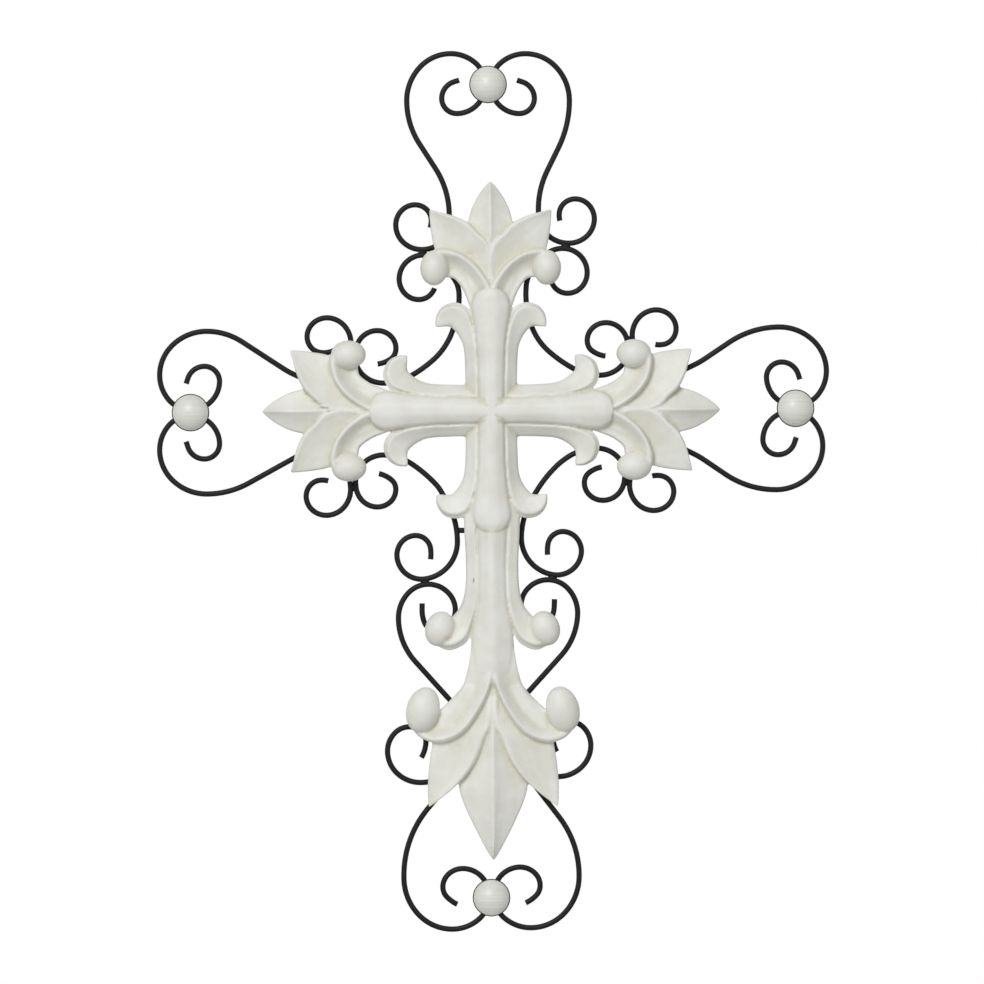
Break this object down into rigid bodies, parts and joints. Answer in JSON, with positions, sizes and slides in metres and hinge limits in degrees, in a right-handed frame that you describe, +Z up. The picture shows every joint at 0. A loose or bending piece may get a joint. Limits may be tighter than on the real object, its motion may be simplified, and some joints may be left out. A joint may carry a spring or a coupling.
{
  "type": "wall cross",
  "caption": "Wall-hung memorial cross: a pale carved cross with leafy ends, laid on a frame of black wrought-iron scrolls with domed studs.",
  "frame": {"origin": "centre of the hanging hole at the wall plane, on the back of the hanger bar", "axes": "+Z up the cross, +Y back into the wall, so the carved front faces -Y; +X to the right seen from the front"},
  "size_m": [0.4653, 0.0258, 0.6098],
  "materials": {
    "carving": "satin",
    "iron": "satin",
    "dish": "satin",
    "stud": "satin"
  },
  "bodies": {
    "root": {"carved_cross": "carving", "top_heart_left": "iron", "top_heart_right": "iron", "left_heart_upper": "iron", "left_heart_lower": "iron", "right_heart_upper": "iron", "right_heart_lower": "iron", "bottom_heart_left": "iron", "bottom_heart_right": "iron", "corner_scroll_top_left": "iron", "corner_scroll_top_right": "iron", "corner_scroll_bottom_left": "iron", "corner_scroll_bottom_right": "iron", "shaft_scroll_left": "iron", "shaft_scroll_right": "iron", "back_rail": "iron", "hanger_bar": "iron", "dish_top": "dish", "dish_bottom": "dish", "dish_left": "dish", "dish_right": "dish", "stud_top": "stud", "stud_bottom": "stud", "stud_left": "stud", "stud_right": "stud"}
  },
  "joints": []
}
